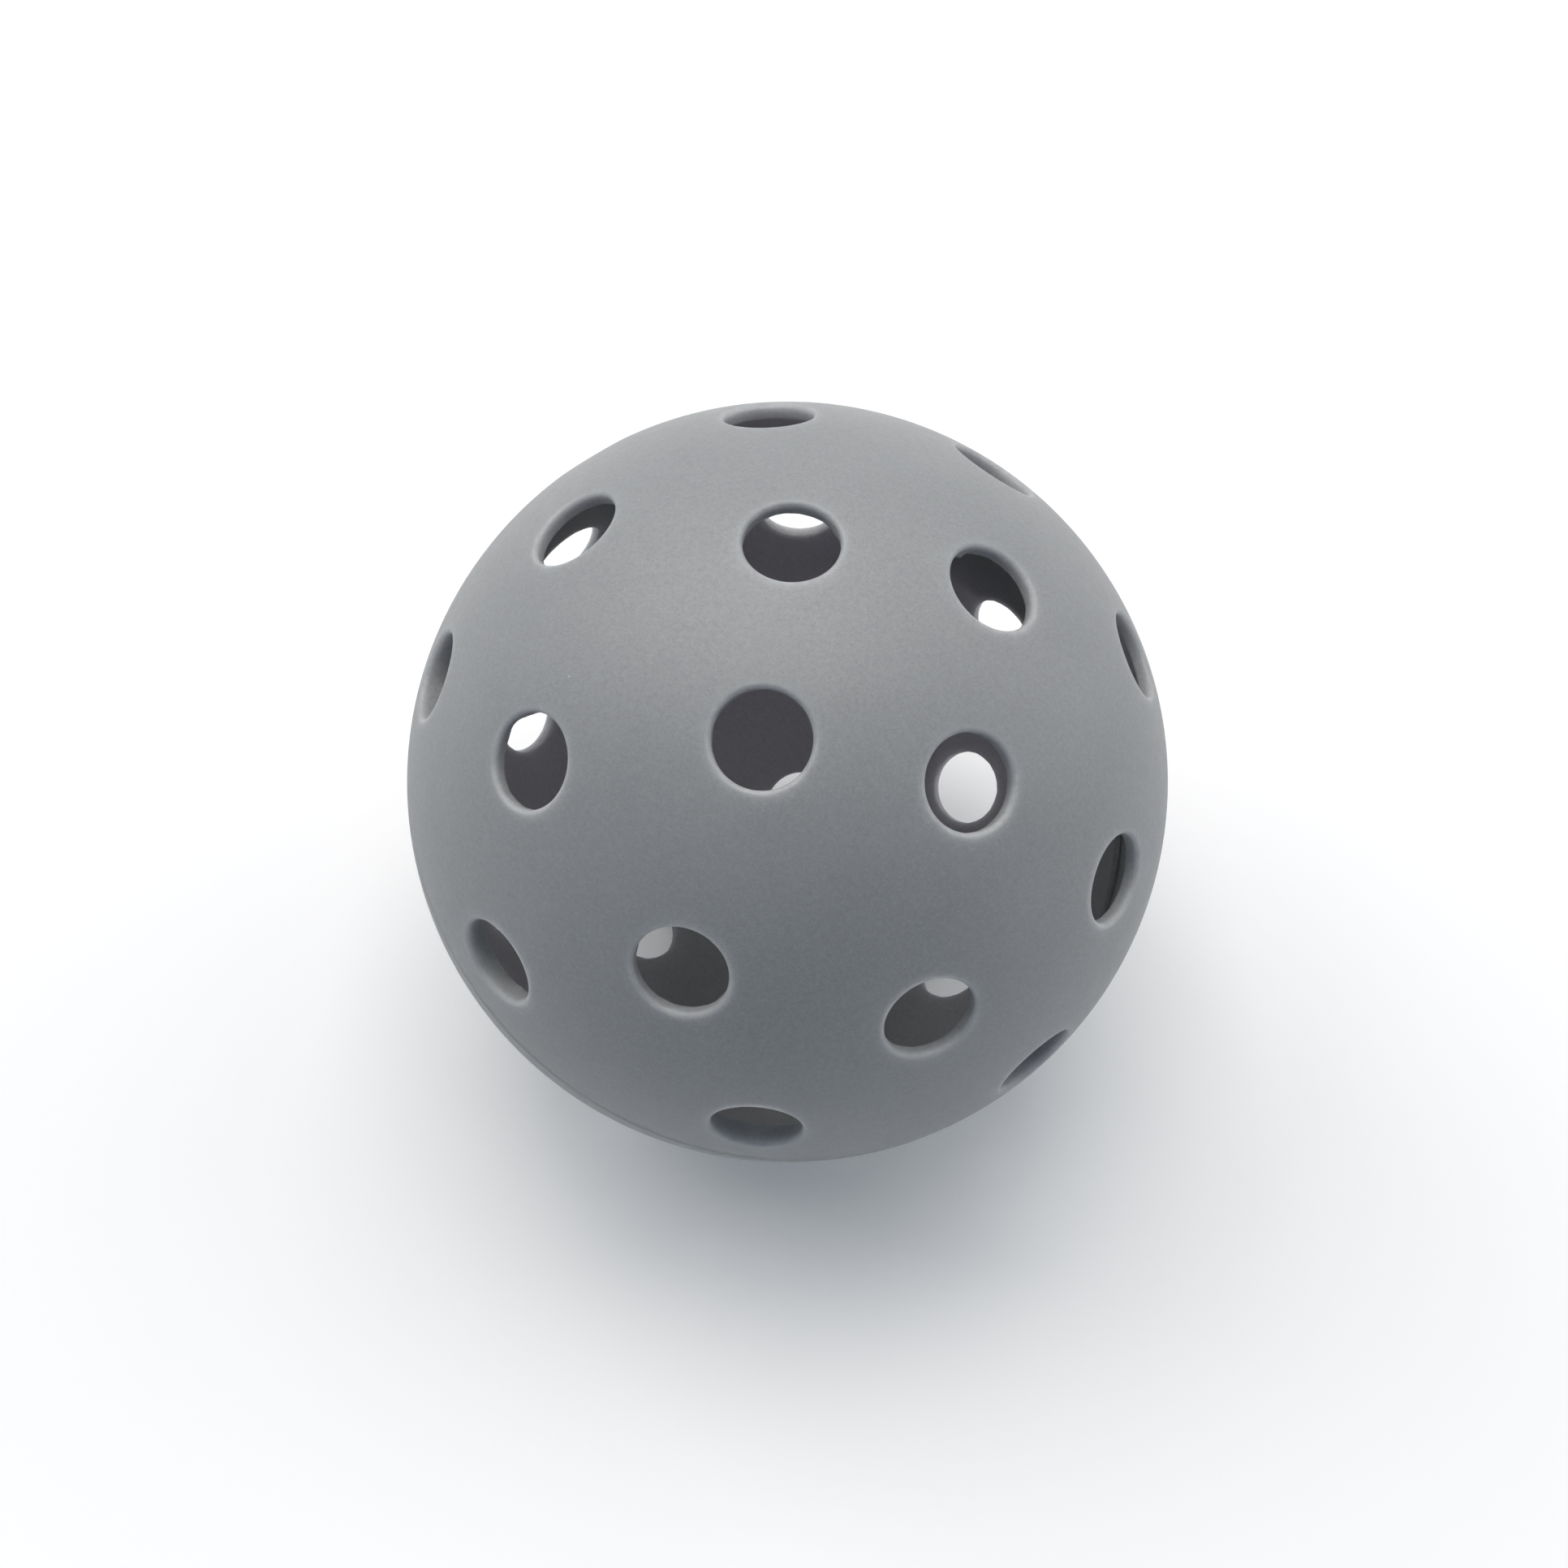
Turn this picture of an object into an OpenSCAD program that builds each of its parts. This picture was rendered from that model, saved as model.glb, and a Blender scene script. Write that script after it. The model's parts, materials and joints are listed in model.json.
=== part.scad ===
// Perforated pickleball of two moulded half shells, plugged together and welded round the equator.
// The origin is the centre of the ball. The ball lies on the rim of one hole of the lower half,
// and +Z runs straight up from that hole. The poles are the middles of the two half shells. Both
// halves are drawn with their pole on Z, and are then leaned over together into the lying position.

/* [Ball] */
// Outer diameter of the ball
ball_d = 74; // [73:0.25:76]
// Thickness of the moulded wall
wall = 1.5; // [1.3:0.05:2]

/* [Holes] */
// Diameter of the straight bore of each hole
hole_d = 8.2; // [7:0.1:8.6]
// Radius of the round on the outer edge of each hole
lip_r = 0.4; // [0.2:0.05:0.5]
// Radius of the round on the inner edge of each hole
inner_lip_r = 0.15; // [0.1:0.05:0.3]
// Holes in the ring nearest the pole of each half
ring_1_count = 4; // [3:1:4]
// Angle from the pole to the first ring, in degrees
ring_1_angle = 19.75; // [18.5:0.25:21]
// Holes in the middle ring
ring_2_count = 8; // [6:1:8]
// Angle from the pole to the middle ring, in degrees
ring_2_angle = 50.25; // [48:0.25:51.5]
// Holes in the ring nearest the weld
ring_3_count = 8; // [6:1:10]
// Angle from the pole to the ring nearest the weld, in degrees
ring_3_angle = 75; // [73.5:0.25:76]

/* [Weld joint] */
// Turn of the upper half about the poles, from where its holes match the lower half's, in degrees
weld_turn = 2.5; // [0:0.5:22.5]
// Height of the lower half's spigot above the plane where the outer skins meet
spigot_h = 1.6; // [1:0.1:2]
// Thickness of the spigot, measured inwards from its outer face
spigot_t = 0.7; // [0.5:0.05:0.8]
// Gap between the spigot and the wall of its socket
spigot_gap = 0.05; // [0.02:0.01:0.1]
// Height of the melted ring between the end of the spigot and the floor of the socket
bead_h = 0.5; // [0.3:0.05:0.8]
// Radius of the rounded bead that the melt leaves inside the ball
bead_r = 0.55; // [0.45:0.05:0.8]

/* [Hidden] */

// How far each cut runs past the surface that it opens
overrun = 1;
// Share of an edge's radius by which its round stands back from the skin, a little under 1 so
// that the round and the skin cross cleanly
edge_share = 0.95;

ball_r = ball_d / 2;
inner_r = ball_r - wall;
hole_r = hole_d / 2;

// The spigot's outer face stands on the ball's inner radius plus the spigot's own thickness
spigot_r = inner_r + spigot_t;
socket_r = spigot_r + spigot_gap;
bead_z = spigot_h + bead_h / 2;

// Distance from the ball's centre to the middle of each edge round, and its height on the bore
lip_x = hole_r + lip_r;
lip_z = sqrt(pow(ball_r - edge_share * lip_r, 2) - pow(lip_x, 2));
inner_lip_x = hole_r + inner_lip_r;
inner_lip_z = sqrt(pow(inner_r + edge_share * inner_lip_r, 2) - pow(inner_lip_x, 2));

// Each ring of holes: how many, the angle from the pole, and the turn of its first hole. The
// first ring starts on the side that ends up on top, and the middle ring is turned half a step.
RINGS = [
    [ring_1_count, ring_1_angle, 180],
    [ring_2_count, ring_2_angle, 180 / ring_2_count],
    [ring_3_count, ring_3_angle, 0]
];

shell_color = [0.62, 0.63, 0.64];
bead_color = [0.50, 0.51, 0.52];

// Lean of the pole that brings one hole of the lower half's first ring straight down
module lying() {
    rotate([0, ring_1_angle, 0])
        children();
}

// Sharp corner between a bore and a skin, less the round of radius r that takes its place
module edge_round_section(r) {
    difference() {
        square([r, r + overrun]);
        translate([r, 0])
            circle(r = r, $fn = 32);
    }
}

// Half section of one hole: a straight bore that flares over a round edge at each end
module hole_section() {
    square([hole_r, ball_r + overrun]);
    translate([hole_r, lip_z])
        edge_round_section(lip_r);
    translate([hole_r, inner_lip_z])
        mirror([0, 1])
            edge_round_section(inner_lip_r);
}

// The cutter of one hole, from inside the wall to outside the ball, along +Z
module hole_cutter() {
    intersection() {
        rotate_extrude($fn = 64)
            hole_section();
        translate([0, 0, inner_lip_z - inner_lip_r - overrun])
            cylinder(r = lip_x + overrun, h = ball_r);
    }
}

// All the holes of one half, about a pole on +Z
module half_holes() {
    for (ring = RINGS, i = [0 : ring[0] - 1])
        rotate([0, ring[1], ring[2] + i * 360 / ring[0]])
            hole_cutter();
}

// The hollow ball before it is parted or drilled
module ball_skin() {
    difference() {
        sphere(r = ball_r, $fn = 128);
        sphere(r = inner_r, $fn = 128);
    }
}

// A round slab that reaches past the ball, from height z0 to height z1
module slab(z0, z1) {
    translate([0, 0, z0])
        cylinder(r = ball_r + overrun, h = z1 - z0, $fn = 128);
}

module upper_half_shell() {
    color(shell_color)
        lying()
            difference() {
                ball_skin();
                slab(-ball_r - overrun, 0);
                // Socket that takes the spigot and the melted ring
                translate([0, 0, -overrun])
                    cylinder(r = socket_r, h = overrun + spigot_h + bead_h, $fn = 128);
                rotate([0, 0, -weld_turn])
                    half_holes();
            }
}

module lower_half_shell() {
    color(shell_color)
        lying()
            difference() {
                ball_skin();
                slab(spigot_h, ball_r + overrun);
                // Step outside the spigot, where the upper half's skin comes down
                difference() {
                    slab(0, spigot_h + overrun);
                    translate([0, 0, -overrun])
                        cylinder(r = spigot_r, h = spigot_h + 3 * overrun, $fn = 128);
                }
                rotate([0, 180, 0])
                    half_holes();
            }
}

module weld_bead() {
    color(bead_color)
        lying() {
            // Melted ring in the joint
            translate([0, 0, spigot_h])
                difference() {
                    cylinder(r = socket_r, h = bead_h, $fn = 128);
                    translate([0, 0, -overrun])
                        cylinder(r = inner_r - bead_r / 2, h = bead_h + 2 * overrun, $fn = 128);
                }
            // Rounded bead that lies against the inner skin of both halves
            intersection() {
                sphere(r = inner_r, $fn = 128);
                rotate_extrude($fn = 128)
                    translate([inner_r, bead_z])
                        circle(r = bead_r, $fn = 32);
            }
        }
}

upper_half_shell();
lower_half_shell();
weld_bead();
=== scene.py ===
"""Perforated play ball: moulded half shells, their weld and their finish, built around the CAD frame.

Sizes are in metres and angles in radians inside the script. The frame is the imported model's own:
the origin is the ball's centre and the ball lies on the rim of the hole that points straight down.
Each half shell is worked out about a pole on +Z and is then leaned over into the lying position.
"""
import json
from math import asin, cos, pi, radians, sin, sqrt

import bpy
import numpy as np
from bpy.props import FloatProperty, FloatVectorProperty, IntProperty, PointerProperty
from bpy.types import Operator, Panel, PropertyGroup
from mathutils import Matrix, Vector


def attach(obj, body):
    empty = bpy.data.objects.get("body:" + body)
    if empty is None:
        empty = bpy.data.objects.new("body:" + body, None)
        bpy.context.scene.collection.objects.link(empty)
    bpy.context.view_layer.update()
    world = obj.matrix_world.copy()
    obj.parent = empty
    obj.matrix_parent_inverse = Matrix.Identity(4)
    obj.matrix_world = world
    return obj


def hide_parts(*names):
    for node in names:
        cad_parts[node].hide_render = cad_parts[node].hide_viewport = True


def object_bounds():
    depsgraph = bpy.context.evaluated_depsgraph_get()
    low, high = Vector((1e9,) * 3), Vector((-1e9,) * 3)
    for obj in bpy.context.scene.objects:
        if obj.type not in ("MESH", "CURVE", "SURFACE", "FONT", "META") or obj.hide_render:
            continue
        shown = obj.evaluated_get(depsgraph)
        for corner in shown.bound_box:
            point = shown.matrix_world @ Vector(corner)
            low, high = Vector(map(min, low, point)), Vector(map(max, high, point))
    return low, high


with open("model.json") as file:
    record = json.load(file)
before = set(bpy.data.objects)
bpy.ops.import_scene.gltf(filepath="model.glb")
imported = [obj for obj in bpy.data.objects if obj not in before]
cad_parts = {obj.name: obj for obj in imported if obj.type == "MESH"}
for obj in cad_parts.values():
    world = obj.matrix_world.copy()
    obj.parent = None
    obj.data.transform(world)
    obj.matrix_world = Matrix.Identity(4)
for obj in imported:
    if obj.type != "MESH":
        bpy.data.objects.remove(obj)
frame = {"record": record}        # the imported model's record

bl_info = {
    "name": "Perforated Ball",
    "version": (1, 0, 0),
    "blender": (4, 5, 0),
    "location": "View3D > Sidebar > Ball",
    "description": "Makes the moulded shells, weld and finish of a perforated ball around its CAD frame",
    "category": "Add Mesh",
}

MM = 0.001
BODY = "root"

# The ball's widest reach lies along Y, in the weld plane, where no hole cuts it
CAD_LOW, CAD_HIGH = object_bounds()
CAD_BALL_D = CAD_HIGH.y - CAD_LOW.y
CAD_HOLE_D = 2 * MM * frame["record"]["mounts"][0]["dims"]["r_mm"]
FLOOR_Z = CAD_LOW.z


def length(name, description, default_mm):
    """A length property whose default is written in millimetres."""
    return FloatProperty(name=name, description=description, default=default_mm * MM,
                         min=0, unit="LENGTH", subtype="DISTANCE", precision=5)


def angle(name, description, default_degrees):
    """An angle property whose default is written in degrees."""
    return FloatProperty(name=name, description=description, default=radians(default_degrees),
                         unit="ROTATION", subtype="ANGLE")


def share(name, description, default):
    """A property from 0 to 1."""
    return FloatProperty(name=name, description=description, default=default, min=0, max=1,
                         subtype="FACTOR")


def colour(name, description, default):
    """A linear colour property."""
    return FloatVectorProperty(name=name, description=description, default=default, size=3,
                               min=0, max=1, subtype="COLOR")


def level(name, description, default):
    """A light level, where 1 on a level surface shows a colour as it is written."""
    return FloatProperty(name=name, description=description, default=default, min=0)


class BallSizes(PropertyGroup):
    """Sizes of the hollow ball, its holes and its weld joint."""

    ball_d: length("Ball diameter", "Outer diameter of the ball", CAD_BALL_D / MM)
    wall: length("Wall", "Thickness of the moulded wall", 1.35)
    weld_wall: length("Weld wall", "Thickness at the weld, where the inside runs straight", 2.54)
    hole_d: length("Hole diameter", "Diameter of the straight bore of each hole", CAD_HOLE_D / MM)
    lip_r: length("Lip radius", "Round on the outer edge of each hole", 0.4)
    inner_lip_r: length("Inner lip radius", "Round on the inner edge of each hole", 0.15)
    ring_1_count: IntProperty(name="Ring 1 holes", description="Holes nearest the pole", default=4)
    ring_2_count: IntProperty(name="Ring 2 holes", description="Holes in the middle ring", default=8)
    ring_3_count: IntProperty(name="Ring 3 holes", description="Holes nearest the weld", default=8)
    ring_1_angle: angle("Ring 1 angle", "Angle from the pole to the first ring", 19.75)
    ring_2_angle: angle("Ring 2 angle", "Angle from the pole to the middle ring", 50.25)
    ring_3_angle: angle("Ring 3 angle", "Angle from the pole to the ring nearest the weld", 75)
    weld_turn: angle("Weld turn", "Turn of the upper half about the poles against the lower one", 2.5)
    spigot_h: length("Spigot height", "Height of the lower half's spigot above the weld plane", 1.6)
    spigot_t: length("Spigot thickness", "Thickness of the spigot, inwards from its outer face", 1.74)
    spigot_gap: length("Spigot gap", "Gap between the spigot and the wall of its socket", 0.05)
    bead_h: length("Melt height", "Height of the melted ring over the spigot's end", 0.5)
    bead_r: length("Bead radius", "Radius of the rounded bead inside the ball", 0.55)


class BallFinish(PropertyGroup):
    """Colours and surface of the moulded plastic."""

    shell_colour: colour("Shell colour", "Colour of the two half shells", (0.33, 0.338, 0.341))
    weld_colour: colour("Weld colour", "Colour of the melted ring", (0.21, 0.217, 0.225))
    dust_colour: colour("Dust colour", "Colour of the pale specks", (0.72, 0.73, 0.74))
    roughness: share("Roughness", "Roughness of the satin skin", 0.5)
    weld_roughness: share("Weld roughness", "Roughness of the melted ring", 0.38)
    grain: length("Grain", "Width of the finest grain of the moulded skin", 0.16)
    mottle: length("Mottle", "Width of the faint clouds in the plastic's tone", 11)
    dust_spacing: length("Dust spacing", "Width of the patches that hold one speck at most", 4.5)
    translucency: share("Translucency", "How much of the light goes into the plastic and scatters", 1)
    scatter: length("Scatter", "How far green light goes in the plastic between two turns", 3.8)
    scatter_shares: FloatVectorProperty(
        name="Scatter shares", description="How far red, green and blue light go, against green",
        size=3, default=(1.06, 1, 1.05), min=0)
    rubbed: share("Rubbed lips", "How much paler the lips of the holes are", 0.12)


class BallStage(PropertyGroup):
    """Camera, floor and lamps."""

    azimuth: angle("Azimuth", "Turn of the camera about +Z, from looking along +Y", 49.193)
    elevation: angle("Elevation", "Height of the camera over the floor, as an angle", 57.846)
    roll: angle("Roll", "Turn of the camera about its own view", -0.31)
    distance: length("Distance", "From the camera to the point it aims at", 183.66)
    aim: FloatVectorProperty(name="Aim", description="Point that the camera aims at", size=3,
                             default=(-0.089 * MM, -0.361 * MM, -0.106 * MM), subtype="XYZ")
    lens: FloatProperty(name="Focal length", description="Focal length in mm, for a sensor 36 mm wide",
                        default=42.47, min=1)
    floor_colour: colour("Floor colour", "Colour of the plain floor", (0.86, 0.86, 0.86))
    floor_lift: share("Floor lift", "Share of the floor's white that no shadow takes away", 0.14)
    lamp_distance: length("Lamp distance", "From the ball's centre to each lamp", 1200)
    lamp_size: length("Lamp size", "Width and height of each square lamp", 870)
    lamp_level: level("Lamp level", "Brightness of all the lamps together", 1.025)
    lamp_colour: colour("Lamp colour", "Colour of the lamps", (1.0, 0.955, 0.92))
    fill_level: level("Fill level", "Brightness of the open room", 0.102)
    fill_colour: colour("Fill colour", "Colour of the light of the open room", (0.0, 0.5, 1.0))


def unit(vectors):
    """The same vectors, each a unit long."""
    return vectors / np.linalg.norm(vectors, axis=-1, keepdims=True)


def hole_ways(sizes):
    """Unit vectors from the ball's centre through the holes of one half, about a pole on +Z.

    A hole at angle p from the pole and turn t lies along (sin p cos t, sin p sin t, cos p). The
    first ring starts on the side that ends up on top, and the middle ring is turned half a step.
    """
    rings = [(sizes.ring_1_count, sizes.ring_1_angle, pi),
             (sizes.ring_2_count, sizes.ring_2_angle, pi / sizes.ring_2_count),
             (sizes.ring_3_count, sizes.ring_3_angle, 0)]
    ways = []
    for count, polar, first in rings:
        turn = first + 2 * pi * np.arange(count) / count
        ways.append(np.stack([sin(polar) * np.cos(turn), sin(polar) * np.sin(turn),
                              np.full(count, cos(polar))], axis=-1))
    return np.concatenate(ways)


# Headings tried round a hole when its patch of the ball is worked out, and the shortest run of
# them that counts as a side: shorter runs are corners where more than three patches meet
HEADINGS = 1440
SHORTEST_RUN = 6


def patch_corners(way, others):
    """Corners of the patch of ball that lies nearer to one hole than to any other.

    On a unit ball, the border with a hole along m is the great circle (way - m) . p = 0. Along the
    heading h it lies at the angle atan(1 - way . m, h . m), and the nearest such border wins. Two
    borders meet at the unit vector square to both of their planes.
    """
    east = unit(np.cross((0.0, 0.0, 1.0), way))
    north = np.cross(way, east)
    turn = 2 * pi * np.arange(HEADINGS) / HEADINGS
    heading = np.cos(turn)[:, None] * east + np.sin(turn)[:, None] * north
    reach = np.arctan2((1 - others @ way)[:, None], others @ heading.T)
    nearest = reach.argmin(axis=0)
    starts = np.flatnonzero(nearest != np.roll(nearest, 1))
    runs = np.diff(np.append(starts, starts[0] + HEADINGS))
    sides = nearest[starts[runs >= SHORTEST_RUN]]
    planes = way - others[sides]
    corners = unit(np.cross(np.roll(planes, 1, axis=0), planes))
    return corners * np.sign(corners @ way)[:, None]


# Points within this angle of the weld plane lie on it
ON_WELD = 1e-9


def rim_points(corners, step, weld_sine):
    """Points round a patch on the outer skin and on the inner skin, and which end a weld side.

    A side runs along the great circle between two corners, in equal shares of the chord, so that
    both patches beside it get the same points. On the inner skin a side on the weld plane is
    lifted to the height weld_sine of a unit ball, square above the outer one as seen from the pole.
    """
    def lifted(points):
        low = np.abs(points[:, 2]) < ON_WELD
        points = points.copy()
        points[low] = unit(points[low] * (1, 1, 0)) * sqrt(1 - weld_sine ** 2) + (0, 0, weld_sine)
        return points

    inner_corners = lifted(corners)
    outer, inner, on_weld = [], [], []
    for k in range(len(corners)):
        a, b = corners[k], corners[(k + 1) % len(corners)]
        count = max(3, round(float(np.arccos(np.clip(a @ b, -1, 1))) / step))
        s = (np.arange(count) / count)[:, None]
        along = unit((1 - s) * a + s * b)
        weld_side = abs(a[2]) < ON_WELD and abs(b[2]) < ON_WELD
        c, d = inner_corners[k], inner_corners[(k + 1) % len(corners)]
        outer.append(along)
        inner.append(lifted(along) if weld_side else unit((1 - s) * c + s * d))
        on_weld.append(np.full(count, weld_side))
    return np.concatenate(outer), np.concatenate(inner), np.concatenate(on_weld)


# Angle between neighbouring points round a patch, and the rows of each stretch of the surface
RIM_STEP = radians(1.35)
SKIN_ROWS = 12
LIP_ROWS = 9
BORE_ROWS = 5
INNER_LIP_ROWS = 4
INNER_SKIN_ROWS = 7

# How much closer together the rows of the outer and of the inner skin lie beside the hole
SKIN_GRADING = 1.6
INNER_GRADING = 1.4

# How far the mark of the lip shows in the last rows of the skin, and in the first of the bore
LIP_ON_SKIN = (0.15, 0.45, 0.8)
LIP_ON_BORE = 0.4

# The holes aren't perfectly clean: how far a bore is out of round and over what share of its depth
# that comes in, how ragged its inner edge is and how many waves the raggedness has round the hole,
# the turn from one hole's waves to the next one's, and the power with which they grow with depth
OUT_OF_ROUND = 0.02 * MM
OVAL_DEPTH_SHARE = 0.25
RAGGED = 0.028 * MM
RAGGED_WAVES = (5, 9, 14, 23)
RAGGED_TURN = 2.399
RAGGED_POWER = 3

# Flakes of flash that stand in from the inner edge, and nicks in it, which stand in by less than
# nothing: half, ring, hole in the ring counted from 0, the heading round the hole from 90 degrees
# towards the pole to 270 towards the weld, how far it stands in in mm and how wide it is in degrees
FLAKES = [
    ("upper", 1, 3, 355, 0.24, 5),
    ("upper", 1, 0, 168, 0.15, 6),
    ("upper", 2, 5, 203, -0.35, 14),
    ("upper", 3, 5, 272, 0.25, 6),
    ("upper", 3, 6, 284, -0.20, 7),
    ("upper", 3, 6, 308, 0.28, 6),
    ("upper", 3, 7, 276, 0.22, 6),
    ("lower", 1, 2, 40, 0.28, 7),
    ("lower", 2, 3, 190, 0.24, 8),
    ("lower", 3, 5, 20, 0.30, 6),
]


def bore_wander(turn, seed, flakes):
    """How far the inner edge of a bore stands in towards the bore's axis, by heading.

    A sum of sines with the phases of the hole's own number, and a bell curve for each flake.
    """
    wander = np.zeros_like(turn)
    for k, waves in enumerate(RAGGED_WAVES):
        phase = RAGGED_TURN * (seed + 1) * (k + 1)
        wander += RAGGED * np.sin(waves * turn + phase) / sqrt(len(RAGGED_WAVES))
    for heading, height, width in flakes:
        off = np.angle(np.exp(1j * (turn - radians(heading))))
        wander += height * MM * np.exp(-(off / radians(width)) ** 2)
    return wander


def graded(rows, power):
    """Shares from 0 to 1 that lie closer together towards 1."""
    return 1 - (1 - np.linspace(0, 1, rows)) ** power


def brought_in(points, along, band_r):
    """The points, with those outside the straight band near the weld brought in to it.

    The band is a cylinder of radius band_r about Z, and a point moves along its own direction by t.
    With p and a the level parts of the point and of the direction, |p + t a| = band_r gives
    t = (sqrt((p . a)^2 - a^2 (p^2 - band_r^2)) - p . a) / a^2.
    """
    along = np.broadcast_to(along, points.shape)
    outside = np.hypot(points[..., 0], points[..., 1]) > band_r
    p, a = points[outside][:, :2], along[outside][:, :2]
    pa, aa = (p * a).sum(axis=1), (a * a).sum(axis=1)
    t = (np.sqrt(pa ** 2 - aa * ((p * p).sum(axis=1) - band_r ** 2)) - pa) / aa
    moved = points.copy()
    moved[outside] += t[:, None] * along[outside]
    return moved


def hole_patch(way, rims, sizes, seed, flakes):
    """Grid of points [spoke][row] over one hole's patch, and its lip shares by row.

    A point is way * height + heading * reach. Along a spoke the section (reach, height) follows
    the outer ball, turns over the round lip, goes down the bore, turns round the inner lip and
    follows the inner ball out to the patch's border. The rounds are tangent to what they join.
    Near the weld the bore is longer, and the inner skin is brought in to the straight band: along
    the hole's own way beside the hole, and squarely towards the pole's axis at the border.
    """
    ball_r, inner_r = sizes.ball_d / 2, sizes.ball_d / 2 - sizes.wall
    band_r = ball_r - sizes.weld_wall
    hole_r, lip, inner_lip = sizes.hole_d / 2, sizes.lip_r, sizes.inner_lip_r
    outer_rim, inner_rim, _ = rims
    outer_turn = np.arccos(outer_rim @ way)
    inner_turn = np.arccos(inner_rim @ way)
    outer_head = unit(outer_rim - (outer_rim @ way)[:, None] * way)
    inner_head = unit(inner_rim - (inner_rim @ way)[:, None] * way)
    lip_turn = asin((hole_r + lip) / (ball_r - lip))
    lip_z = (ball_r - lip) * cos(lip_turn)

    east = unit(np.cross((0.0, 0.0, 1.0), way))
    north = np.cross(way, east)
    compass = np.arctan2(outer_head @ north, outer_head @ east)[:, None]
    wander = bore_wander(compass, seed, flakes)
    oval = OUT_OF_ROUND * np.sin(2 * compass + seed)

    end_r = hole_r + np.maximum(0, -wander)
    inner_lip_turn = np.arcsin((end_r + inner_lip) / (inner_r + inner_lip))
    inner_lip_z = (inner_r + inner_lip) * np.cos(inner_lip_turn)
    edge = inner_r * (way * np.cos(inner_lip_turn) + inner_head * np.sin(inner_lip_turn))
    inner_lip_z = inner_lip_z + ((brought_in(edge, way, band_r) - edge) @ way)[:, None]

    spokes = len(outer_rim)
    across = np.ones((spokes, 1))
    reach, height, lean = [], [], []

    s = graded(SKIN_ROWS, SKIN_GRADING)
    turn = outer_turn[:, None] * (1 - s) + lip_turn * s
    reach.append(ball_r * np.sin(turn))
    height.append(ball_r * np.cos(turn))
    lean.append(np.zeros(SKIN_ROWS))

    roll = np.linspace(pi / 2 - lip_turn, pi, LIP_ROWS + 1)[1:]
    reach.append(across * (hole_r + lip + lip * np.cos(roll)))
    height.append(across * (lip_z + lip * np.sin(roll)))
    lean.append(np.zeros(LIP_ROWS))

    s = np.linspace(0, 1, BORE_ROWS + 1)[1:]
    reach.append(hole_r - oval * np.minimum(1, s / OVAL_DEPTH_SHARE) - wander * s ** RAGGED_POWER)
    height.append(lip_z + (inner_lip_z - lip_z) * s)
    lean.append(s)

    s = np.linspace(0, 1, INNER_LIP_ROWS + 1)[1:]
    roll = pi + (0.5 * pi - inner_lip_turn) * s
    inward = (oval + np.maximum(0, wander)) * (1 - s)
    reach.append(end_r + inner_lip + inner_lip * np.cos(roll) - inward)
    height.append(inner_lip_z + inner_lip * np.sin(roll))
    lean.append(np.ones(INNER_LIP_ROWS))

    s = 1 - graded(INNER_SKIN_ROWS + 1, INNER_GRADING)[::-1][1:]
    turn = inner_lip_turn * (1 - s) + inner_turn[:, None] * s
    reach.append(inner_r * np.sin(turn))
    height.append(inner_r * np.cos(turn))
    lean.append(np.ones(INNER_SKIN_ROWS))

    reach = np.concatenate(reach, axis=1)
    height = np.concatenate(height, axis=1)
    lean = np.concatenate(lean)[None, :, None]
    heading = unit(outer_head[:, None] * (1 - lean) + inner_head[:, None] * lean)
    points = way * height[..., None] + heading * reach[..., None]

    inner = points[:, -INNER_SKIN_ROWS:]
    along = way * (1 - s[:, None]) + inner / inner_r * (1, 1, 0) * s[:, None]
    points[:, -INNER_SKIN_ROWS:] = brought_in(inner, along, band_r)

    lip_share = np.zeros(reach.shape[1])
    lip_share[SKIN_ROWS - len(LIP_ON_SKIN):SKIN_ROWS] = LIP_ON_SKIN
    lip_share[SKIN_ROWS:SKIN_ROWS + LIP_ROWS] = 1
    lip_share[SKIN_ROWS + LIP_ROWS] = LIP_ON_BORE
    return points, lip_share


def grid_faces(spokes, rows, closed, first):
    """Corner numbers of the squares of a grid of points numbered spoke by spoke from first."""
    j = np.arange(spokes if closed else spokes - 1)[:, None]
    k = np.arange(rows - 1)[None, :]
    nxt = (j + 1) % spokes
    square = [j * rows + k, nxt * rows + k, nxt * rows + k + 1, j * rows + k + 1]
    return first + np.stack(np.broadcast_arrays(*square), axis=-1).reshape(-1, 4)


def joint_strip(outer_rim, inner_rim, on_weld, sizes, step_r, weld_z):
    """Grid of points [place][corner] across one patch's stretch of the weld joint.

    The section runs from the outer skin inwards to the radius step_r, along the step to the height
    weld_z, and inwards to the straight band of the inner skin.
    """
    ball_r, inner_r = sizes.ball_d / 2, sizes.ball_d / 2 - sizes.wall
    places = np.flatnonzero(on_weld)
    places = np.append(places, (places[-1] + 1) % len(on_weld))
    around = unit(outer_rim[places] * (1, 1, 0))
    up = np.array((0.0, 0.0, 1.0))
    foot = around * step_r
    inner = brought_in(inner_rim[places] * inner_r, around, ball_r - sizes.weld_wall)
    return np.stack([around * ball_r, foot, foot + up * weld_z, inner], axis=1)


# Points closer together than this are one point
SAME_POINT = 1e-6


def merged(points, faces, marks):
    """Points, faces and marks with the points that lie together made one."""
    keys = np.round(points / SAME_POINT).astype(np.int64)
    _, kept, number = np.unique(keys, axis=0, return_index=True, return_inverse=True)
    return points[kept], number.reshape(-1)[faces], {name: mark[kept] for name, mark in marks.items()}


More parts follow.
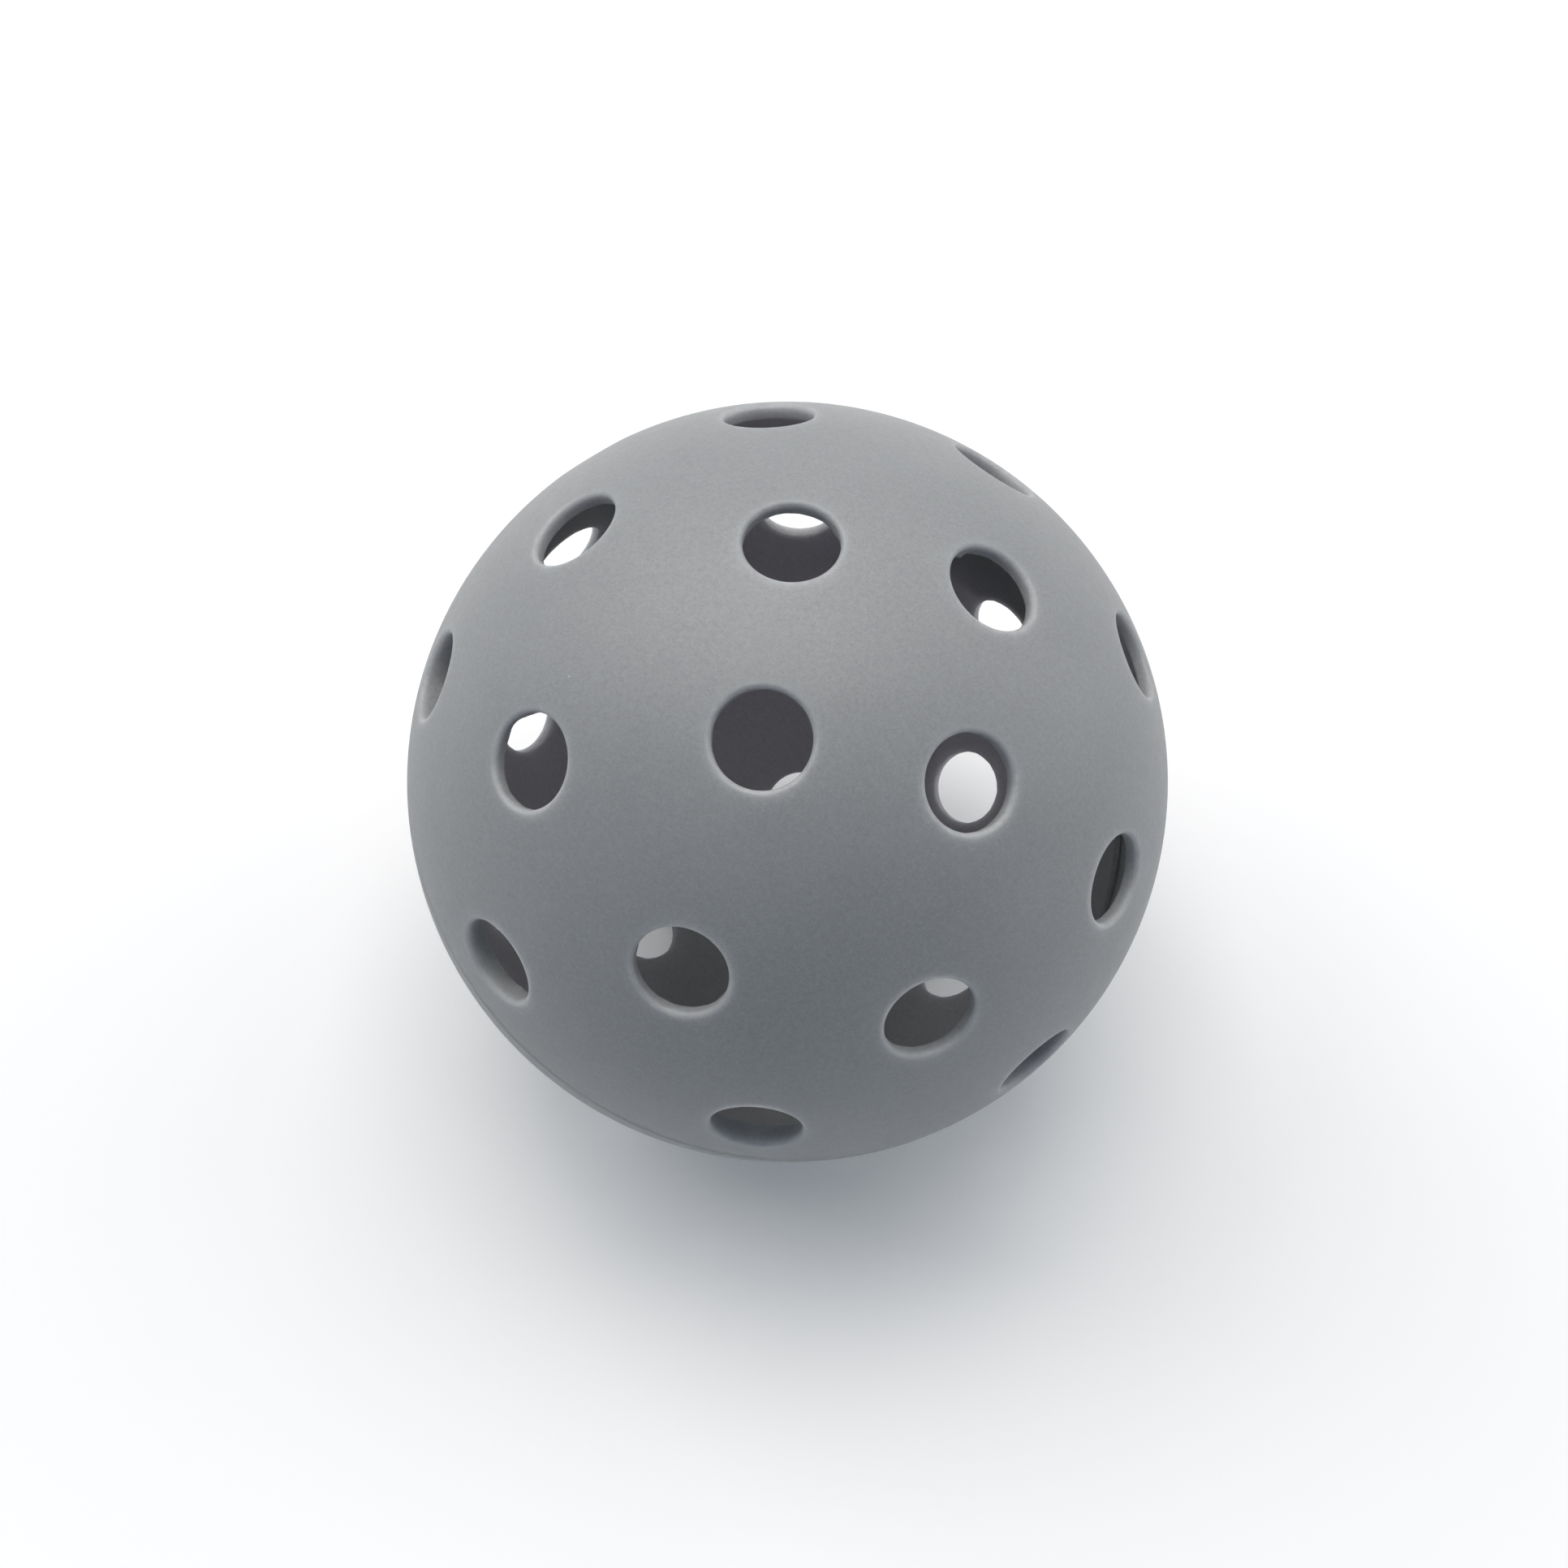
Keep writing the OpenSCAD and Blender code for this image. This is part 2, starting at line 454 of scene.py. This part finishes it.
def half_shell_surface(sizes, half, step_r, weld_z):
    """Points, faces and marks of one half shell about a pole on +Z, with the weld plane at z = 0."""
    ways = hole_ways(sizes)
    below = ways * (1, 1, -1)
    weld_sine = weld_z / (sizes.ball_d / 2 - sizes.wall)
    names = [(ring, hole) for ring, count in enumerate(
        (sizes.ring_1_count, sizes.ring_2_count, sizes.ring_3_count), start=1) for hole in range(count)]
    points, faces, lips = [], [], []
    total = 0
    for n, way in enumerate(ways):
        others = np.concatenate([np.delete(ways, n, axis=0), below])
        rims = rim_points(patch_corners(way, others), RIM_STEP, weld_sine)
        flakes = [flake[3:] for flake in FLAKES if (half,) + names[n] == flake[:3]]
        grid, lip = hole_patch(way, rims, sizes, n, flakes)
        spokes, rows = grid.shape[:2]
        points.append(grid.reshape(-1, 3))
        lips.append(np.tile(lip, spokes))
        faces.append(grid_faces(spokes, rows, True, total))
        total += spokes * rows
        if rims[2].any():
            strip = joint_strip(*rims, sizes, step_r, weld_z)
            places, corners = strip.shape[:2]
            points.append(strip.reshape(-1, 3))
            lips.append(np.zeros(places * corners))
            faces.append(grid_faces(places, corners, False, total)[:, ::-1])
            total += places * corners
    return merged(np.concatenate(points), np.concatenate(faces), {"lip": np.concatenate(lips)})


def lying(points, turn, lean):
    """The points turned about the pole on +Z, and then leaned over about Y."""
    turned = Matrix.Rotation(lean, 3, "Y") @ Matrix.Rotation(turn, 3, "Z")
    return points @ np.array(turned).T


# Edges where the faces turn by more than this stay sharp
SHARP = radians(38)


def new_piece(name, points, faces, marks):
    """A smooth mesh object at the origin, with a number at each point for every mark."""
    mesh = bpy.data.meshes.new(name)
    mesh.from_pydata(points, [], faces)
    mesh.validate()
    for mark, values in marks.items():
        layer = mesh.attributes.new(mark, "FLOAT", "POINT")
        layer.data.foreach_set("value", values.astype(np.float32))
    mesh.polygons.foreach_set("use_smooth", np.ones(len(mesh.polygons), dtype=bool))
    mesh.set_sharp_from_angle(angle=SHARP)
    mesh.update()
    piece = bpy.data.objects.new(name, mesh)
    bpy.context.scene.collection.objects.link(piece)
    return piece


# Points across the rounded bead and round the ball, how far the bead's radius wanders as a share
# of it, and how many waves it has round the ball
BEAD_ROWS = 11
BEAD_SPOKES = 240
BEAD_WANDER = 0.12
BEAD_WAVES = (7, 16, 31)


def weld_bead_surface(sizes):
    """Points, faces and marks of the melted ring about a pole on +Z.

    The section is a profile (radius, height) carried round the pole: the wall and floor of the
    socket, the rounded bead inside the ball, and the spigot's end. The bead's radius wanders round
    the ball by a sum of sines.
    """
    band_r = sizes.ball_d / 2 - sizes.weld_wall
    socket_r = band_r + sizes.spigot_t + sizes.spigot_gap
    low, high = sizes.spigot_h, sizes.spigot_h + sizes.bead_h
    middle = (low + high) / 2
    turn = 2 * pi * np.arange(BEAD_SPOKES) / BEAD_SPOKES
    wander = sum(np.sin(waves * turn + waves) for waves in BEAD_WAVES) / len(BEAD_WAVES)
    bead_r = sizes.bead_r * (1 + BEAD_WANDER * (wander - 1))[:, None]
    roll = np.linspace(0.5 * pi, 1.5 * pi, BEAD_ROWS)
    radius = band_r + bead_r * np.cos(roll)
    height = middle + bead_r * np.sin(roll)
    wall = np.ones((BEAD_SPOKES, 2))
    end = wall[:, :1] * band_r
    radius = np.concatenate([wall * socket_r, end, radius, end], axis=1)
    height = np.concatenate([wall * (low, high), wall[:, :1] * high, height, wall[:, :1] * low], axis=1)
    points = np.stack([radius * np.cos(turn)[:, None], radius * np.sin(turn)[:, None], height], axis=-1)
    rows = points.shape[1]
    looped = np.concatenate([points, points[:, :1]], axis=1)
    faces = grid_faces(BEAD_SPOKES, rows + 1, True, 0)
    return merged(looped.reshape(-1, 3), faces, {"lip": np.zeros(BEAD_SPOKES * (rows + 1))})


def new_group(name, inputs, outputs):
    """A shader node group with its entry and exit nodes. Inputs are (name, socket, default)."""
    group = bpy.data.node_groups.new(name, "ShaderNodeTree")
    for label, kind, default in inputs:
        socket = group.interface.new_socket(name=label, in_out="INPUT", socket_type=kind)
        socket.default_value = default
    for label, kind in outputs:
        group.interface.new_socket(name=label, in_out="OUTPUT", socket_type=kind)
    return group, group.nodes.new("NodeGroupInput"), group.nodes.new("NodeGroupOutput")


def calculate(tree, operation, *values):
    """A Math node on numbers or sockets, and its result."""
    node = tree.nodes.new("ShaderNodeMath")
    node.operation = operation
    for slot, value in zip(node.inputs, values):
        if isinstance(value, bpy.types.NodeSocket):
            tree.links.new(value, slot)
        else:
            slot.default_value = value
    return node.outputs["Value"]


def remap(tree, value, low, high, start, end):
    """A Map Range node from low..high to start..end, held at its ends."""
    node = tree.nodes.new("ShaderNodeMapRange")
    tree.links.new(value, node.inputs["Value"])
    for label, number in (("From Min", low), ("From Max", high), ("To Min", start), ("To Max", end)):
        if isinstance(number, bpy.types.NodeSocket):
            tree.links.new(number, node.inputs[label])
        else:
            node.inputs[label].default_value = number
    return node.outputs["Result"]


def noise(tree, size, detail):
    """A noise over Object coordinates whose blobs are as wide as the length size says."""
    place = tree.nodes.new("ShaderNodeTexCoord")
    node = tree.nodes.new("ShaderNodeTexNoise")
    tree.links.new(place.outputs["Object"], node.inputs["Vector"])
    tree.links.new(calculate(tree, "DIVIDE", 1.0, size), node.inputs["Scale"])
    node.inputs["Detail"].default_value = detail
    return node.outputs["Fac"]


# Width of the coarse grain against the fine one's, and of the ripple against the clouds'
COARSE_WIDTH = 2.8
RIPPLE_WIDTH = 0.12
# Weights of the fine grain, the coarse grain and the clouds in the tone
FINE_TONE = 0.5
COARSE_TONE = 0.3
CLOUD_TONE = 0.2
# Height of the ripple against the grain's, and how far it moves the roughness either side
RIPPLE_HEIGHT = 0.6
GLOSS_SWING = 0.04
# The stretch of a noise's values that is spread over the whole of the tone and of the gloss
NOISE_LOW = 0.3
NOISE_HIGH = 0.7


def moulded_grain_group():
    """Fine grain and faint clouds of a moulded skin.

    Height is the grain for a bump, Tone runs from 0 to 1 with the grain and the clouds, and Gloss
    is a small change of roughness about 0.
    """
    group, entry, leave = new_group(
        "Moulded Grain",
        [("Grain Width", "NodeSocketFloat", 0.16 * MM), ("Cloud Width", "NodeSocketFloat", 11 * MM)],
        [("Height", "NodeSocketFloat"), ("Tone", "NodeSocketFloat"), ("Gloss", "NodeSocketFloat")])
    fine = noise(group, entry.outputs["Grain Width"], 1.0)
    coarse = noise(group, calculate(group, "MULTIPLY", entry.outputs["Grain Width"], COARSE_WIDTH), 1.0)
    cloud = noise(group, entry.outputs["Cloud Width"], 3.0)
    ripple = noise(group, calculate(group, "MULTIPLY", entry.outputs["Cloud Width"], RIPPLE_WIDTH), 2.0)
    grainy = calculate(group, "MULTIPLY_ADD", fine, FINE_TONE,
                       calculate(group, "MULTIPLY", coarse, COARSE_TONE))
    tone = calculate(group, "MULTIPLY_ADD", cloud, CLOUD_TONE, grainy)
    height = calculate(group, "MULTIPLY_ADD", ripple, RIPPLE_HEIGHT, fine)
    group.links.new(height, leave.inputs["Height"])
    group.links.new(remap(group, tone, NOISE_LOW, NOISE_HIGH, 0, 1), leave.inputs["Tone"])
    gloss = remap(group, ripple, NOISE_LOW, NOISE_HIGH, -GLOSS_SWING, GLOSS_SWING)
    group.links.new(gloss, leave.inputs["Gloss"])
    return group


def dust_group():
    """Sparse pale specks: one patch of space in a few holds a small round speck."""
    group, entry, leave = new_group(
        "Dust Specks",
        [("Spacing", "NodeSocketFloat", 4.5 * MM), ("Speck Share", "NodeSocketFloat", 0.022),
         ("Rarity", "NodeSocketFloat", 0.86)],
        [("Mask", "NodeSocketFloat")])
    place = group.nodes.new("ShaderNodeTexCoord")
    cells = group.nodes.new("ShaderNodeTexVoronoi")
    group.links.new(place.outputs["Object"], cells.inputs["Vector"])
    group.links.new(calculate(group, "DIVIDE", 1.0, entry.outputs["Spacing"]), cells.inputs["Scale"])
    chance = group.nodes.new("ShaderNodeSeparateColor")
    group.links.new(cells.outputs["Color"], chance.inputs["Color"])
    chosen = calculate(group, "GREATER_THAN", chance.outputs["Red"], entry.outputs["Rarity"])
    size = calculate(group, "MULTIPLY", entry.outputs["Speck Share"], chance.outputs["Green"])
    inside = calculate(group, "LESS_THAN", cells.outputs["Distance"], size)
    group.links.new(calculate(group, "MULTIPLY", chosen, inside), leave.inputs["Mask"])
    return group


# The stretch of a noise's values over which a rubbed patch comes in, and the least that is rubbed
PATCH_LOW = 0.35
PATCH_HIGH = 0.65
LEAST_RUBBED = 0.45


def rubbed_lip_group():
    """Where the lips of the holes are rubbed, from the mark that the mesh carries on them."""
    group, entry, leave = new_group(
        "Rubbed Lip",
        [("Patch Width", "NodeSocketFloat", 1.4 * MM)],
        [("Mask", "NodeSocketFloat")])
    lip = group.nodes.new("ShaderNodeAttribute")
    lip.attribute_name = "lip"
    patches = noise(group, entry.outputs["Patch Width"], 2.0)
    patchy = remap(group, patches, PATCH_LOW, PATCH_HIGH, LEAST_RUBBED, 1)
    group.links.new(calculate(group, "MULTIPLY", lip.outputs["Fac"], patchy), leave.inputs["Mask"])
    return group


GROUP_MAKERS = {
    "Moulded Grain": moulded_grain_group,
    "Dust Specks": dust_group,
    "Rubbed Lip": rubbed_lip_group,
}


def place_group(tree, name, values):
    """A node of the shared group, built the first time, with its own input values."""
    group = bpy.data.node_groups.get(name) or GROUP_MAKERS[name]()
    node = tree.nodes.new("ShaderNodeGroup")
    node.node_tree = group
    for label, value in values.items():
        node.inputs[label].default_value = value
    return node


def blend_colour(tree, factor, a, b):
    """A Mix node between two colours, given as sockets or as linear colours."""
    node = tree.nodes.new("ShaderNodeMix")
    node.data_type = "RGBA"
    tree.links.new(factor, node.inputs["Factor"])
    sockets = [s for s in node.inputs if s.type == "RGBA"]
    for socket, value in zip(sockets, (a, b)):
        if isinstance(value, bpy.types.NodeSocket):
            tree.links.new(value, socket)
        else:
            socket.default_value = (*value, 1)
    return next(s for s in node.outputs if s.type == "RGBA")


# How far the tone of the plastic strays either side of its colour, and how deep the grain is
TONE_SWING = 0.14
GRAIN_DEPTH = 0.004 * MM


def moulded_plastic(name, base, roughness, finish):
    """Satin moulded plastic: clouded tone, fine grain, rubbed lips and a few pale specks."""
    material = bpy.data.materials.new(name)
    material.use_nodes = True
    tree = material.node_tree
    shader = tree.nodes["Principled BSDF"]
    grain = place_group(tree, "Moulded Grain",
                        {"Grain Width": finish.grain, "Cloud Width": finish.mottle})
    dust = place_group(tree, "Dust Specks", {"Spacing": finish.dust_spacing})
    rubbed = place_group(tree, "Rubbed Lip", {})
    base = Vector(base)
    body = blend_colour(tree, grain.outputs["Tone"], base * (1 - TONE_SWING), base * (1 + TONE_SWING))
    rub = calculate(tree, "MULTIPLY", rubbed.outputs["Mask"], finish.rubbed)
    worn = blend_colour(tree, rub, body, finish.dust_colour)
    specked = blend_colour(tree, dust.outputs["Mask"], worn, finish.dust_colour)
    tree.links.new(specked, shader.inputs["Base Color"])
    rough = calculate(tree, "ADD", grain.outputs["Gloss"], roughness)
    tree.links.new(rough, shader.inputs["Roughness"])
    shader.inputs["Subsurface Weight"].default_value = finish.translucency
    shader.inputs["Subsurface Radius"].default_value = finish.scatter_shares
    shader.inputs["Subsurface Scale"].default_value = finish.scatter
    bump = tree.nodes.new("ShaderNodeBump")
    bump.inputs["Distance"].default_value = GRAIN_DEPTH
    tree.links.new(grain.outputs["Height"], bump.inputs["Height"])
    tree.links.new(bump.outputs["Normal"], shader.inputs["Normal"])
    return material


def dress(piece, material, node):
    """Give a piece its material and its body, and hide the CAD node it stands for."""
    piece.data.materials.append(material)
    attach(piece, BODY)
    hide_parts(node)


class BALL_OT_half_shells(Operator):
    """Make the skins of the upper and the lower half shell"""

    bl_idname = "ball.half_shells"
    bl_label = "Half Shells"

    def execute(self, context):
        sizes, finish = context.scene.ball_sizes, context.scene.ball_finish
        plastic = moulded_plastic("satin_shell_plastic", finish.shell_colour, finish.roughness, finish)
        spigot_r = sizes.ball_d / 2 - sizes.weld_wall + sizes.spigot_t
        lean = sizes.ring_1_angle
        halves = [("upper", spigot_r + sizes.spigot_gap, sizes.spigot_h + sizes.bead_h,
                   -sizes.weld_turn, lean),
                  ("lower", spigot_r, -sizes.spigot_h, 0, lean + pi)]
        for half, step_r, weld_z, turn, over in halves:
            points, faces, marks = half_shell_surface(sizes, half, step_r, weld_z)
            node = half + "_half_shell"
            piece = new_piece(node + "_skin", lying(points, turn, over), faces, marks)
            dress(piece, plastic, node)
        return {"FINISHED"}


class BALL_OT_weld_bead(Operator):
    """Make the melted ring of the weld, with its bead inside the ball"""

    bl_idname = "ball.weld_bead"
    bl_label = "Weld Bead"

    def execute(self, context):
        sizes, finish = context.scene.ball_sizes, context.scene.ball_finish
        plastic = moulded_plastic("melted_weld_plastic", finish.weld_colour, finish.weld_roughness, finish)
        points, faces, marks = weld_bead_surface(sizes)
        piece = new_piece("weld_bead_skin", lying(points, 0, sizes.ring_1_angle), faces, marks)
        dress(piece, plastic, "weld_bead")
        return {"FINISHED"}


# Half the floor's width, its points along a side, and its surface
FLOOR_HALF = 3.0
FLOOR_STEPS = 9
FLOOR_ROUGHNESS = 0.9
FLOOR_SPECULAR = 0.1
# How far from the ball the floor starts to turn into plain white, and where it is all white
FADE_START = 0.06
FADE_END = 1.2


def add_floor(stage):
    """A flat white sheet under the ball, which fades to plain white far from it."""
    steps = np.linspace(-FLOOR_HALF, FLOOR_HALF, FLOOR_STEPS)
    x, y = np.meshgrid(steps, steps, indexing="ij")
    points = np.stack([x, y, np.full_like(x, FLOOR_Z)], axis=-1).reshape(-1, 3)
    floor = new_piece("floor", points, grid_faces(FLOOR_STEPS, FLOOR_STEPS, False, 0), {})
    material = bpy.data.materials.new("white_floor")
    material.use_nodes = True
    tree = material.node_tree
    shader = tree.nodes["Principled BSDF"]
    shader.inputs["Base Color"].default_value = (*stage.floor_colour, 1)
    shader.inputs["Roughness"].default_value = FLOOR_ROUGHNESS
    shader.inputs["Specular IOR Level"].default_value = FLOOR_SPECULAR
    shader.inputs["Emission Color"].default_value = (1, 1, 1, 1)
    place = tree.nodes.new("ShaderNodeTexCoord")
    away = tree.nodes.new("ShaderNodeVectorMath")
    away.operation = "LENGTH"
    tree.links.new(place.outputs["Object"], away.inputs[0])
    white = remap(tree, away.outputs["Value"], FADE_START, FADE_END, stage.floor_lift, 1.0)
    path = tree.nodes.new("ShaderNodeLightPath")
    lift = calculate(tree, "MULTIPLY", path.outputs["Is Camera Ray"], white)
    tree.links.new(lift, shader.inputs["Emission Strength"])
    floor.data.materials.append(material)


def add_room(stage):
    """The open room: white to the camera, and a low cool fill on the object."""
    world = bpy.data.worlds.new("room")
    bpy.context.scene.world = world
    world.use_nodes = True
    tree = world.node_tree
    fill = tree.nodes["Background"]
    fill.inputs["Color"].default_value = (*stage.fill_colour, 1)
    fill.inputs["Strength"].default_value = stage.fill_level
    white = tree.nodes.new("ShaderNodeBackground")
    white.inputs["Color"].default_value = (1, 1, 1, 1)
    white.inputs["Strength"].default_value = 1
    path = tree.nodes.new("ShaderNodeLightPath")
    mix = tree.nodes.new("ShaderNodeMixShader")
    tree.links.new(path.outputs["Is Camera Ray"], mix.inputs["Fac"])
    tree.links.new(fill.outputs["Background"], mix.inputs[1])
    tree.links.new(white.outputs["Background"], mix.inputs[2])
    tree.links.new(mix.outputs["Shader"], tree.nodes["World Output"].inputs["Surface"])


def backwards(azimuth, elevation):
    """Unit vector from the ball towards a camera at that azimuth and elevation."""
    return Vector((sin(azimuth) * cos(elevation), -cos(azimuth) * cos(elevation), sin(elevation)))


def facing(direction, place, roll):
    """Matrix of a camera or lamp at place that looks along direction, turned by roll."""
    side = direction.cross(Vector((0, 0, 1))).normalized()
    up = side.cross(direction)
    right = side * cos(roll) + up * sin(roll)
    up = right.cross(direction)
    turn = Matrix((right, up, -direction)).transposed()
    return Matrix.Translation(place) @ turn.to_4x4()


# Turn of each lamp from straight behind the ball and its elevation, in degrees, and the light
# that it gives a level surface, where 1 shows a colour as it is written
LAMPS = {
    "top_lamp": (0, 88, 0.325),
    "high_lamp": (0, 70, 0.39),
    "back_lamp_left": (60, 45, 0.295),
    "back_lamp_right": (-60, 45, 0.12),
    "low_lamp_right": (-80, 20, 0.06),
}


def add_lamp(stage, name, turn, elevation, light):
    """A large soft lamp that looks at the ball.

    A small lamp of power P at distance d gives a level surface the light P / (pi d)^2 times the
    sine of its elevation.
    """
    lamp = bpy.data.lights.new(name, "AREA")
    lamp.size = stage.lamp_size
    lamp.color = stage.lamp_colour
    lamp.energy = light * stage.lamp_level * (pi * stage.lamp_distance) ** 2 / sin(elevation)
    away = backwards(stage.azimuth + pi + turn, elevation)
    holder = bpy.data.objects.new(name, lamp)
    bpy.context.scene.collection.objects.link(holder)
    holder.matrix_world = facing(-away, away * stage.lamp_distance, 0)
    holder.visible_camera = False


# Width of the camera's sensor in mm, and the reach in which it sees
SENSOR = 36
CLIP_START = 1 * MM
CLIP_END = 100


def add_camera(stage):
    """The camera at the photograph's viewing angle."""
    camera = bpy.data.cameras.new("camera")
    camera.sensor_width = SENSOR
    camera.sensor_fit = "HORIZONTAL"
    camera.lens = stage.lens
    camera.clip_start = CLIP_START
    camera.clip_end = CLIP_END
    back = backwards(stage.azimuth, stage.elevation)
    holder = bpy.data.objects.new("camera", camera)
    bpy.context.scene.collection.objects.link(holder)
    holder.matrix_world = facing(-back, Vector(stage.aim) + back * stage.distance, stage.roll)
    bpy.context.scene.camera = holder


class BALL_OT_stage(Operator):
    """Set up the camera, the floor and the lamps"""

    bl_idname = "ball.stage"
    bl_label = "Stage"

    def execute(self, context):
        stage = context.scene.ball_stage
        context.scene.view_settings.view_transform = "Standard"
        add_camera(stage)
        add_floor(stage)
        add_room(stage)
        for name, (turn, elevation, light) in LAMPS.items():
            add_lamp(stage, name, radians(turn), radians(elevation), light)
        return {"FINISHED"}


class BALL_PT_sidebar(Panel):
    """Sizes, finish and stage of the ball"""

    bl_idname = "BALL_PT_sidebar"
    bl_label = "Perforated Ball"
    bl_space_type = "VIEW_3D"
    bl_region_type = "UI"
    bl_category = "Ball"

    def draw(self, context):
        groups = [(context.scene.ball_sizes, (BALL_OT_half_shells, BALL_OT_weld_bead)),
                  (context.scene.ball_finish, ()),
                  (context.scene.ball_stage, (BALL_OT_stage,))]
        for group, operators in groups:
            box = self.layout.box()
            for name in group.__annotations__:
                box.prop(group, name)
            for operator in operators:
                box.operator(operator.bl_idname)


CLASSES = (BallSizes, BallFinish, BallStage, BALL_OT_half_shells, BALL_OT_weld_bead, BALL_OT_stage,
           BALL_PT_sidebar)


def register():
    """Register the classes and hang the settings on the scene."""
    for cls in CLASSES:
        bpy.utils.register_class(cls)
    bpy.types.Scene.ball_sizes = PointerProperty(type=BallSizes)
    bpy.types.Scene.ball_finish = PointerProperty(type=BallFinish)
    bpy.types.Scene.ball_stage = PointerProperty(type=BallStage)


def unregister():
    """Take the settings and the classes away again."""
    del bpy.types.Scene.ball_stage
    del bpy.types.Scene.ball_finish
    del bpy.types.Scene.ball_sizes
    for cls in reversed(CLASSES):
        bpy.utils.unregister_class(cls)


def main():
    """Build everything in order."""
    register()
    bpy.ops.ball.stage()
    bpy.ops.ball.half_shells()
    bpy.ops.ball.weld_bead()


if __name__ == "__main__":
    main()
